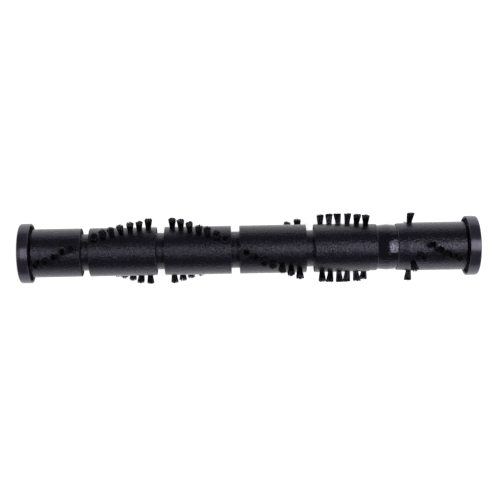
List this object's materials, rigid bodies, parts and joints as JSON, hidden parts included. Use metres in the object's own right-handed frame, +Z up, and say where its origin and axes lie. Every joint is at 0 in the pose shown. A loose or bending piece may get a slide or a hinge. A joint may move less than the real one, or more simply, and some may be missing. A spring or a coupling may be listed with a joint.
{
  "type": "vacuum brush roll",
  "caption": "Grooved roller with helical rows of bristle tufts and a crowned belt seat, turning on a fixed axle between round end caps that sit in a cleaner's nozzle.",
  "frame": {"origin": "the middle of the roll, on its axis", "axes": "+X along the axle towards the end nearer the belt seat, +Z up"},
  "size_m": [0.33, 0.0504, 0.0504],
  "materials": {
    "roller_plastic": "fine moulded grain",
    "cap_plastic": "satin moulded",
    "bristle_nylon": "extruded filament",
    "axle_steel": "drawn bright bar",
    "anchor_wire": "rolled flat wire",
    "bush_bronze": "sintered, oil filled",
    "washer_steel": "stamped",
    "seal_felt": "pressed wool felt"
  },
  "bodies": {
    "axle_and_caps": {"axle": "axle_steel", "left_end_cap": "cap_plastic", "left_felt_seal": "seal_felt", "left_thrust_washer": "washer_steel", "right_end_cap": "cap_plastic", "right_felt_seal": "seal_felt", "right_thrust_washer": "washer_steel"},
    "roller": {"roller_body": "roller_plastic", "segment_1_tufts_a": "bristle_nylon", "segment_1_tufts_b": "bristle_nylon", "segment_2_tufts_a": "bristle_nylon", "segment_2_tufts_b": "bristle_nylon", "segment_3_tufts_a": "bristle_nylon", "segment_3_tufts_b": "bristle_nylon", "segment_4_tufts_a": "bristle_nylon", "segment_4_tufts_b": "bristle_nylon", "segment_5_tufts_a": "bristle_nylon", "segment_5_tufts_b": "bristle_nylon", "segment_6_tufts_a": "bristle_nylon", "segment_6_tufts_b": "bristle_nylon", "tuft_anchors": "anchor_wire", "left_bearing_bush": "bush_bronze", "right_bearing_bush": "bush_bronze"}
  },
  "joints": [
    {"name": "roller_spin", "type": "hinge", "parent": "axle_and_caps", "child": "roller", "pos_m": [0, 0, 0], "axis": [1, 0, 0], "continuous": true}
  ]
}
